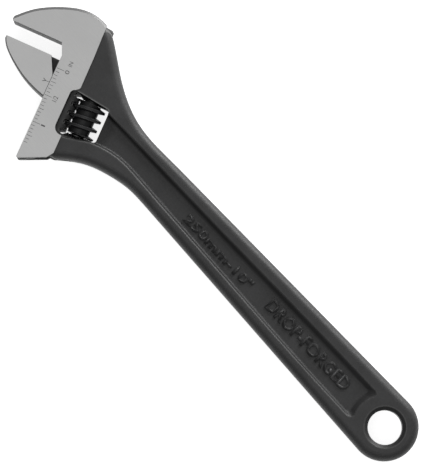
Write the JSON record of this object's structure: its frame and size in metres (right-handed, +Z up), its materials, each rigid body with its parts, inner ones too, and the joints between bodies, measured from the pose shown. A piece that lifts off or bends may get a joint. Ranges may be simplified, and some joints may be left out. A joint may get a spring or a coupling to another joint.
{
  "type": "adjustable wrench",
  "caption": "Forged adjustable wrench: ribbed handle with hang hole, fixed jaw, and a sliding jaw driven by a thumb worm on its rack.",
  "frame": {"origin": "centre of the bounding box in plan, at the lowest face of the head", "axes": "+X along the handle from the hang hole to the head, +Y to the side the moving jaw opens, +Z up out of the face with the scale"},
  "size_m": [0.2542, 0.068, 0.015],
  "materials": {
    "forging": "black phosphate forging, head faces ground bright",
    "jaw_steel": "ground faces, black phosphate elsewhere",
    "worm_steel": "black phosphate, oiled",
    "pin_steel": "black oxide",
    "spring_wire": "drawn spring wire"
  },
  "bodies": {
    "handle": {"body": "forging", "worm_pin": "pin_steel"},
    "jaw": {"moving_jaw": "jaw_steel"},
    "knurl": {"worm": "worm_steel", "worm_spring": "spring_wire"}
  },
  "joints": [
    {"name": "jaw_slide", "type": "slide", "parent": "handle", "child": "jaw", "axis": [-0.3907, 0.9205, 0], "range_m": [-0.007, 0.026]},
    {"name": "worm_spin", "type": "hinge", "parent": "handle", "child": "knurl", "pos_m": [0.07385, 0.00137, 0.0075], "axis": [0.3907, -0.9205, 0], "range_deg": [-606, 2222]}
  ],
  "couplings": [
    {"joint": "worm_spin", "follows": "jaw_slide", "rad_per_m": 1484.2}
  ]
}
